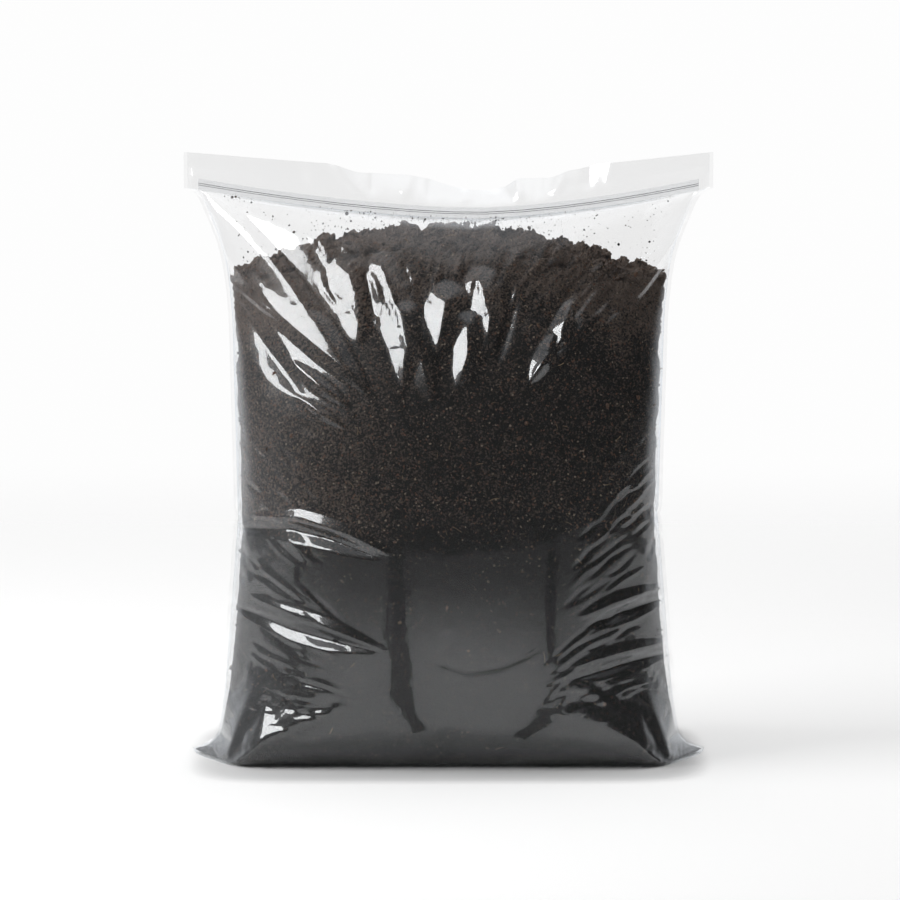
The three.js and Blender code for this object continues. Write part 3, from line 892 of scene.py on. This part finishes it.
crumbs_each = 2200
crumbs_above = 9 * MM
rng = np.random.default_rng(31)
off_floor = body[:, 2] > crumbs_above
facing_front = (normals[:, 1] < -0.2) & off_floor
on_crest = (crest + 0.04) * off_floor
shown = facing_front * (0.15 + above_painted_shade)
crest_spots = picked(on_crest, crumbs_each, rng)
crest_sizes = rng.gamma(2.0, 0.8, crumbs_each).clip(0.7, 4.5) * MM
crest_at = body[crest_spots] + normals[crest_spots] * crest_sizes[:, None] * 0.2
crest_at, _ = inside(crest_at, 2.6 * MM)
crumbs = scatter("compost_crumbs", crest_at, crest_sizes, rng, tones=tone_and_painted_light[crest_spots], spread=0.25)
front_spots = picked(shown, crumbs_each, rng)
front_sizes = rng.gamma(2.0, 0.5, crumbs_each).clip(0.6, 2.6) * MM
front_at, _ = inside(body[front_spots], 1.3 * MM)
front_tones = tone_and_painted_light[front_spots]
front_crumbs = scatter("compost_front_crumbs", front_at, front_sizes, rng, tones=front_tones, spread=0.2)
print("crumb faces:", len(crumbs.data.polygons) + len(front_crumbs.data.polygons))

# %% [markdown]
# ## Bark, roots and dust
#
# Bark chips and fibres are thinly spread over the front and the crest. Specks cling to the inside of the
# film above the heap, thickest just above the crest and towards the sides.

# %% Chips, fibres and specks
chip_count = 260
fibre_count = 240
front_specks = 420
back_specks = 260
chip_spots = picked(shown + 2.0 * on_crest, chip_count, rng)
chip_at, _ = inside(body[chip_spots], 1.6 * MM)
chip_sizes = rng.uniform(1.6, 4.2, chip_count) * MM
chips = scatter("bark_chips", chip_at, chip_sizes, rng, stretch=(0.25, 1.2))


def fibres(name, at, lengths, rng):
    """One object of many thin sticks of three bent lengths, four-sided."""
    rings, sides = 4, 4
    points, faces = [], []
    for centre, length in zip(at, lengths):
        way = rng.normal(0, 1, 3) * (1, 0.25, 1)
        way /= np.linalg.norm(way)
        bent = np.cross(way, rng.normal(0, 1, 3)) * 0.25
        radius = rng.uniform(0.09, 0.22) * MM
        side = np.cross(way, (0, 1, 0))
        side /= np.linalg.norm(side)
        other = np.cross(way, side)
        first = len(points)
        for ring in range(rings):
            u = ring / (rings - 1) * 2 - 1
            middle = centre + way * u * length / 2 + bent * (1 - u * u) * length / 2
            for k in range(sides):
                angle = 2 * math.pi * k / sides
                points.append(middle + radius * (side * math.cos(angle) + other * math.sin(angle)))
        for ring in range(rings - 1):
            for k in range(sides):
                a, b = first + ring * sides + k, first + ring * sides + (k + 1) % sides
                faces.append((a, b, b + sides, a + sides))
        faces.append([first + k for k in reversed(range(sides))])
        faces.append([first + (rings - 1) * sides + k for k in range(sides)])
    mesh = bpy.data.meshes.new(name)
    mesh.from_pydata([tuple(p) for p in points], [], faces)
    made = bpy.data.objects.new(name, mesh)
    bpy.context.collection.objects.link(made)
    bpy.context.view_layer.objects.active = made
    return made


fibre_spots = picked(shown + 1.5 * on_crest, fibre_count, rng)
fibre_at, _ = inside(body[fibre_spots], 1.2 * MM)
fibre_sticks = fibres("plant_fibres", fibre_at, rng.uniform(2.5, 8, fibre_count) * MM, rng)


def stuck_specks(face, count, rng):
    """Places just inside the film above the heap, thickest near the crest and towards the sides."""
    grid = coarse[face][int(pouch_rows * 0.6): int(pouch_rows * 0.985), 5:-5].reshape(-1, 3)
    above = grid[:, 2] - np.interp(grid[:, 0], heap_line[:, 0], heap_line[:, 1])
    at_sides = 0.25 * smooth(np.abs(grid[:, 0]), 0.11, 0.16)
    weights = (above > 0.5 * MM) * (np.exp(-above / (9 * MM)) + 0.05 + at_sides)
    spots = rng.choice(len(grid), count, p=weights / weights.sum())
    return grid[spots] * (1, 0.85, 1) + rng.normal(0, 0.7 * MM, (count, 3)) * (1, 0, 1)


speck_at = np.vstack([stuck_specks(-1, front_specks, rng), stuck_specks(1, back_specks, rng)])
speck_sizes = rng.gamma(1.6, 0.3, len(speck_at)).clip(0.25, 2.2) * MM
specks = scatter("stuck_specks", speck_at, speck_sizes, rng)
print("chips, fibres, specks faces:", *(len(o.data.polygons) for o in (chips, fibre_sticks, specks)))

# %% [markdown]
# ## Sums in a material
#
# Node trees are easier to read as sums. A `Wire` wraps one socket, so that sums on it make Math nodes,
# and a `Shader` makes one material and any other node in it.

# %% Wire and Shader
class Shader:
    """One material and its node tree."""

    def __init__(self, name):
        self.material = bpy.data.materials.new(name)
        self.material.use_nodes = True
        self.tree = self.material.node_tree
        self.tree.nodes.clear()

    def node(self, kind, settings=None, values=None, output=0):
        made = self.tree.nodes.new(kind)
        for name, value in (settings or {}).items():
            setattr(made, name, value)
        for key, value in (values or {}).items():
            self.feed(made.inputs[key], value)
        return Wire(self, made.outputs[output])

    def feed(self, socket, value):
        if isinstance(value, Wire):
            self.tree.links.new(value.socket, socket)
        else:
            socket.default_value = value

    def finish(self, surface):
        made = self.tree.nodes.new("ShaderNodeOutputMaterial")
        self.tree.links.new(surface.socket, made.inputs["Surface"])
        return self.material


class Wire:
    """A socket on which sums can be done."""

    def __init__(self, shader, socket):
        self.shader = shader
        self.socket = socket

    def _sum(self, operation, a, b, clamp=False):
        settings = {"operation": operation, "use_clamp": clamp}
        return self.shader.node("ShaderNodeMath", settings, {0: a, 1: b})

    def __add__(self, other):
        return self._sum("ADD", self, other)

    def __radd__(self, other):
        return self._sum("ADD", other, self)

    def __sub__(self, other):
        return self._sum("SUBTRACT", self, other)

    def __rsub__(self, other):
        return self._sum("SUBTRACT", other, self)

    def __mul__(self, other):
        return self._sum("MULTIPLY", self, other)

    def __rmul__(self, other):
        return self._sum("MULTIPLY", other, self)

    def __truediv__(self, other):
        return self._sum("DIVIDE", self, other)

    def __rtruediv__(self, other):
        return self._sum("DIVIDE", other, self)

    def __pow__(self, other):
        return self._sum("POWER", self, other)

    def above(self, limit):
        return self._sum("GREATER_THAN", self, limit)

    def step(self, low, high, start=0.0, end=1.0):
        """A smooth step from start to end as this goes from low to high."""
        ends = {"From Min": low, "From Max": high, "To Min": start, "To Max": end}
        settings = {"interpolation_type": "SMOOTHSTEP"}
        return self.shader.node("ShaderNodeMapRange", settings, {"Value": self, **ends})


def blend(shader, share, a, b):
    """A colour between a and b."""
    return shader.node("ShaderNodeMix", {"data_type": "RGBA"}, {0: share, 6: a, 7: b}, output=2)


def noise(shader, place, scale, detail=3.0, roughness=0.55, output=0):
    values = {"Vector": place, "Scale": scale, "Detail": detail, "Roughness": roughness}
    return shader.node("ShaderNodeTexNoise", None, values, output)


# %% [markdown]
# ## Compost
#
# Moist peat and rotted bark are nearly black-brown, with grains of one to three millimetres that differ
# in tone. Cells at two sizes give the grains, rare cells are reddish bark or pale straw, and the same
# cells give the bump.

# %% Compost material
def compost_material(name, lift):
    shader = Shader(name)
    place = shader.node("ShaderNodeTexCoord", output="Object")
    shake = noise(shader, place, 900.0, 2.0, output="Color")
    shaken_place = {0: shake, 1: (0.0012,) * 3, 2: place}
    bent = shader.node("ShaderNodeVectorMath", {"operation": "MULTIPLY_ADD"}, shaken_place)
    cell = {"Vector": bent, "Scale": 950.0}
    grain_colour = shader.node("ShaderNodeTexVoronoi", None, cell, output="Color")
    grain = shader.node("ShaderNodeSeparateColor", None, {"Color": grain_colour})
    other = Wire(shader, grain.socket.node.outputs["Green"])
    edge = shader.node("ShaderNodeTexVoronoi", None, cell, output="Distance")
    clod = shader.node("ShaderNodeTexVoronoi", None, {"Vector": bent, "Scale": 190.0}, output="Distance")
    patch = noise(shader, place, 42.0)
    own = shader.node("ShaderNodeAttribute", {"attribute_name": "tone"}, output="Fac")
    # The tone attribute holds painted shade, low in the lower half, and painted light, high on the left side.
    tone = grain * 0.9 + patch * 0.4 + (own - 0.3) * 0.9 - clod * 0.14 - 0.19
    soil = blend(shader, tone.step(0.35, 1.15), (*(lift * c for c in (0.0025, 0.002, 0.0018)), 1),
                 (*(lift * c for c in (0.13, 0.098, 0.08)), 1))
    bark = blend(shader, other.above(0.96), soil, (0.12 * lift, 0.062 * lift, 0.04 * lift, 1))
    straw = blend(shader, other.above(0.99), bark, (0.26 * lift, 0.2 * lift, 0.15 * lift, 1))
    # Painted shade: where the tone attribute is low, in the lower half, the colour is mixed towards black.
    colour = blend(shader, own.step(0.0, 0.3, 0.35, 1.0), (0.001, 0.0008, 0.0007, 1), straw)
    height = (0.7 - edge) * 0.6 + noise(shader, place, 1500.0, 2.0) * 0.5 - clod * 0.7
    bump = shader.node("ShaderNodeBump", None, {"Strength": 1.0, "Distance": 0.0014, "Height": height})
    values = {"Base Color": colour, "Roughness": grain.step(0.0, 1.0, 0.62, 0.92), "Normal": bump,
              "Specular IOR Level": 0.3}
    return shader.finish(shader.node("ShaderNodeBsdfPrincipled", None, values))


compost_look = compost_material("moist_compost", 1.0)
crumb_look = compost_material("loose_crumbs", 1.25)

# %% [markdown]
# ## Bark and fibre
#
# Bark chips are reddish brown with a grain along them, and the fibres are straw-coloured.

# %% Bark and fibre materials
def woody_material(name, dark, pale, scale):
    shader = Shader(name)
    place = shader.node("ShaderNodeTexCoord", output="Object")
    streak = shader.node("ShaderNodeMapping", None, {"Vector": place, "Scale": (scale, scale, scale * 0.2)})
    grain = noise(shader, streak, 1.0, 4.0)
    patch = noise(shader, place, 70.0)
    colour = blend(shader, (grain * 0.6 + patch * 0.5).step(0.3, 0.8), dark, pale)
    bump = shader.node("ShaderNodeBump", None, {"Strength": 0.5, "Distance": 0.0003, "Height": grain})
    values = {"Base Color": colour, "Roughness": grain.step(0.2, 0.8, 0.55, 0.85), "Normal": bump}
    return shader.finish(shader.node("ShaderNodeBsdfPrincipled", None, values))


bark_look = woody_material("bark", (0.035, 0.018, 0.011, 1), (0.15, 0.075, 0.04, 1), 900.0)
fibre_look = woody_material("straw", (0.09, 0.05, 0.026, 1), (0.36, 0.25, 0.14, 1), 1200.0)

# %% [markdown]
# ## Clear film
#
# The film is seen by what it mirrors. Each sheet reflects at both of its faces, which comes to about
# twice the Fresnel share of one, and the rest goes straight through. A little white haze stands for
# scuffs and for the milkiness of polyethylene. Low down it is thicker, as a painted sheen that lifts the
# grey there. A faint bump gives the film its fine waviness.

# %% Film material
film_index = 1.55


def film_material(name, haze, sharp, soft):
    shader = Shader(name)
    place = shader.node("ShaderNodeTexCoord", output="Object")
    drawn = shader.node("ShaderNodeMapping", None, {"Vector": place, "Scale": (1.0, 1.0, 0.45)})
    waves = noise(shader, drawn, 95.0, 2.0, 0.4)
    scuffs = noise(shader, place, 260.0, 5.0, 0.7)
    hair = shader.node("ShaderNodeMapping", None, {"Vector": place, "Scale": (1.0, 1.0, 0.12)})
    level = shader.node("ShaderNodeSeparateXYZ", None, {"Vector": place}, output=2)
    fine = noise(shader, hair, 620.0, 2.0, 0.6) * level.step(0.25, 0.33) * 0.16
    height = waves + scuffs * 0.06 + fine
    bump = shader.node("ShaderNodeBump", None, {"Strength": 0.25, "Distance": 0.0006, "Height": height})
    inner = shader.node("ShaderNodeNewGeometry", output="Backfacing")
    bend_of_light = film_index - inner * (film_index - 1 / film_index)
    one_face = shader.node("ShaderNodeFresnel", None, {"IOR": bend_of_light, "Normal": bump})
    mirrored = 2 * one_face / (1 + one_face)
    through_it = shader.node("ShaderNodeBsdfTransparent", None, {"Color": (1, 1, 1, 1)})
    tint = {"Color": (0.97, 0.985, 1, 1), "Normal": bump}
    crisp = shader.node("ShaderNodeBsdfAnisotropic", None, {**tint, "Roughness": sharp})
    blurred = shader.node("ShaderNodeBsdfAnisotropic", None, {**tint, "Roughness": soft})
    gloss = shader.node("ShaderNodeMixShader", None, {0: 0.38, 1: crisp, 2: blurred})
    milk = shader.node("ShaderNodeBsdfDiffuse", None, {"Color": (0.9, 0.92, 0.94, 1), "Normal": bump})
    # Painted sheen: the white haze is up to four times as thick low down, to lift the grey sheen there.
    haze_and_painted_sheen = scuffs.step(0.35, 0.8, haze * 0.5, haze * 1.6) * level.step(0.03, 0.17, 4.0, 1.0)
    cloudy = shader.node("ShaderNodeMixShader", None, {0: haze_and_painted_sheen, 1: through_it, 2: milk})
    return shader.finish(shader.node("ShaderNodeMixShader", None, {0: mirrored, 1: cloudy, 2: gloss}))


film_look = film_material("clear_polyethylene", 0.0045, 0.06, 0.27)


def zip_material(name):
    shader = Shader(name)
    place = shader.node("ShaderNodeTexCoord", output="Object")
    drawn = shader.node("ShaderNodeMapping", None, {"Vector": place, "Scale": (0.05, 1.0, 1.0)})
    lines = noise(shader, drawn, 1800.0, 2.0)
    bump = shader.node("ShaderNodeBump", None, {"Strength": 0.4, "Distance": 0.0002, "Height": lines})
    through_it = shader.node("ShaderNodeBsdfTransparent", None, {"Color": (0.985, 0.987, 0.99, 1)})
    rough = lines.step(0.3, 0.7, 0.2, 0.34)
    values = {"Base Color": (0.8, 0.82, 0.84, 1), "Roughness": rough, "Normal": bump}
    solid = shader.node("ShaderNodeBsdfPrincipled", None, values)
    parts = {0: lines.step(0.2, 0.8, 0.01, 0.05), 1: through_it, 2: solid}
    return shader.finish(shader.node("ShaderNodeMixShader", None, parts))


zip_look = zip_material("zip_polyethylene")


def dress(thing, material):
    thing.data.materials.clear()
    thing.data.materials.append(material)


dress(film_front, film_look)
dress(film_back, film_look)
dress(compost, compost_look)
for thing in (crumbs, front_crumbs, specks):
    dress(thing, crumb_look)
dress(chips, bark_look)
dress(fibre_sticks, fibre_look)
for node in ("zip_rib_strip", "zip_groove_strip"):
    for slot in bpy.data.objects[node].material_slots:
        slot.material = zip_look
print("materials:", len(bpy.data.materials))

# %% [markdown]
# ## Studio
#
# The bag stands on a pale floor in a white room. What makes clear film readable is the dark that it
# mirrors. So the floor's near part is dark to reflections, and three dark cards on it are seen by the
# film alone, as dark bands. The lower half leans towards the floor and mirrors it, which gives the grey
# sheen there.

# %% Floor
bpy.ops.mesh.primitive_plane_add(size=1, location=(0, 0, 0))
floor = bpy.context.object
floor.name = "floor"
floor_points = [(-0.8, -1.36, 0), (0.8, -1.36, 0), (-1.9, 3, 0), (1.9, 3, 0)]
for v, at in zip(sorted(floor.data.vertices, key=lambda v: (v.co.y, v.co.x)), floor_points):
    v.co = at
shader = Shader("pale_floor")
place = shader.node("ShaderNodeTexCoord", output="Object")
speckle = noise(shader, place, 300.0)
paper = blend(shader, speckle, (0.80, 0.80, 0.80, 1), (0.82, 0.82, 0.82, 1))
lit = shader.node("ShaderNodeBsdfDiffuse", None, {"Color": paper})
sideways = shader.node("ShaderNodeSeparateXYZ", None, {"Vector": place}, output=0)
away = shader.node("ShaderNodeSeparateXYZ", None, {"Vector": place}, output=1)
# Painted shadow: the floor's glow fades out under and around the bag, which darkens the floor there.
painted_shadow_falloff = (sideways / 0.157) ** 8 + (away / 0.083) ** 4
glow_values = {"Color": (1, 1, 1, 1), "Strength": painted_shadow_falloff.step(0.8, 3, 0, 0.36)}
glow = shader.node("ShaderNodeEmission", None, glow_values)
sheet_of_paper = shader.node("ShaderNodeAddShader", None, {0: lit, 1: glow})
unlit = shader.node("ShaderNodeBsdfDiffuse", None, {"Color": (0.06, 0.06, 0.062, 1)})
mirrored_only = shader.node("ShaderNodeLightPath", output="Is Glossy Ray")
dimmed = away.step(-0.95, -0.12, 0.8, 0.0) * mirrored_only
in_front = shader.node("ShaderNodeMixShader", None, {0: dimmed, 1: sheet_of_paper, 2: unlit})
gone = shader.node("ShaderNodeBsdfTransparent")
ends = shader.node("ShaderNodeMixShader", None, {0: away.step(0.2, 1.6), 1: in_front, 2: gone})
dress(floor, shader.finish(ends))


def flag(name, angle, half_angle, near, far):
    """A dark card on the floor that only the film sees, and mirrors as a dark band."""
    bpy.ops.mesh.primitive_plane_add(size=1, location=(0, 0, 0))
    card = bpy.context.object
    card.name = name
    corners = [(near, -half_angle), (near, half_angle), (far, -half_angle), (far, half_angle)]
    for v, (reach, off) in zip(sorted(card.data.vertices, key=lambda v: (v.co.y, v.co.x)), corners):
        turn = math.radians(angle + off)
        v.co = (reach * math.sin(turn), -reach * math.cos(turn), 2 * MM)
    card.visible_camera = card.visible_shadow = card.visible_diffuse = False
    dress(card, card_look)


shader = Shader("dark_card")
card_look = shader.finish(shader.node("ShaderNodeBsdfDiffuse", None, {"Color": (0.08, 0.08, 0.085, 1)}))
flag("card_far_left", -52, 2.2, 0.3, 1.2)
flag("card_left", -12, 2.4, 0.1, 1.35)
flag("card_right", 28, 2.6, 0.1, 1.35)


# %% [markdown]
# ## Light, and a room to mirror
#
# Two soft boxes light the bag and a third is only mirrored: the window high on the left that makes the
# long white glints. The rest of the room is white to the camera. To the film it is dark in front and
# bright overhead, behind and a little on the left.

# %% Lights
def softbox(name, place, size, power, mirrored=True, lights=True):
    data = bpy.data.lights.new(name, "AREA")
    data.shape = "RECTANGLE"
    data.size, data.size_y = size
    data.energy = power
    lamp = bpy.data.objects.new(name, data)
    bpy.context.collection.objects.link(lamp)
    lamp.location = place
    lamp.rotation_euler = (Vector((0, 0, 0.2)) - Vector(place)).to_track_quat("-Z", "Y").to_euler()
    lamp.visible_glossy = mirrored
    lamp.visible_diffuse = lights
    return lamp


softbox("window", (-1.3, -1.25, 1.15), (1.15, 0.9), 30, lights=False)
softbox("key", (-1.5, -0.4, 1.2), (1.1, 1.1), 20, mirrored=False)
softbox("top", (0.1, 0.3, 2.0), (1.8, 1.8), 22, mirrored=False)

world = bpy.data.worlds.new("room")
bpy.context.scene.world = world
world.use_nodes = True
tree = world.node_tree
ray = tree.nodes.new("ShaderNodeLightPath")
sky = tree.nodes.new("ShaderNodeSeparateXYZ")
tree.links.new(tree.nodes.new("ShaderNodeTexCoord").outputs["Generated"], sky.inputs[0])


def ramp(axis, low, high, start, end):
    """How bright the mirrored room is along one direction."""
    made = tree.nodes.new("ShaderNodeMapRange")
    made.interpolation_type = "SMOOTHSTEP"
    tree.links.new(sky.outputs[axis], made.inputs["Value"])
    for socket, value in zip(("From Min", "From Max", "To Min", "To Max"), (low, high, start, end)):
        made.inputs[socket].default_value = value
    return made.outputs["Result"]


def total(a, b):
    made = tree.nodes.new("ShaderNodeMath")
    tree.links.new(a, made.inputs[0])
    tree.links.new(b, made.inputs[1])
    return made.outputs[0]


ceiling = ramp("Z", 0.55, 0.95, 0.025, 0.85)
backdrop = ramp("Y", 0.1, 0.7, 0.0, 0.9)
left_wall = ramp("X", -0.5, -0.95, 0.0, 0.4)
brightness = total(total(ceiling, backdrop), left_wall)
backgrounds = []
for colour in ((0.12, 0.12, 0.12, 1), (0.95, 0.97, 1, 1), (0.985, 0.985, 0.985, 1)):
    background = tree.nodes.new("ShaderNodeBackground")
    background.inputs["Color"].default_value = colour
    backgrounds.append(background)
ambient, mirrored_room, white = backgrounds
tree.links.new(brightness, mirrored_room.inputs["Strength"])
mirrored_mix = tree.nodes.new("ShaderNodeMixShader")
seen_mix = tree.nodes.new("ShaderNodeMixShader")
tree.links.new(ray.outputs["Is Glossy Ray"], mirrored_mix.inputs[0])
tree.links.new(ambient.outputs[0], mirrored_mix.inputs[1])
tree.links.new(mirrored_room.outputs[0], mirrored_mix.inputs[2])
tree.links.new(ray.outputs["Is Camera Ray"], seen_mix.inputs[0])
tree.links.new(mirrored_mix.outputs[0], seen_mix.inputs[1])
tree.links.new(white.outputs[0], seen_mix.inputs[2])
tree.links.new(seen_mix.outputs[0], tree.nodes["World Output"].inputs["Surface"])
bpy.context.scene.view_settings.view_transform = "Standard"

# %% [markdown]
# ## Riding and hand-over
#
# The bag has one body. The two film sheets stand for the film's node, and the compost with its loose
# pieces for the compost's node.

# %% Finish
for piece in (film_front, film_back):
    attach(piece, "root")
    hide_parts("film_bag")
for piece in (compost, crumbs, front_crumbs, chips, fibre_sticks, specks):
    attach(piece, "root")
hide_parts("compost")
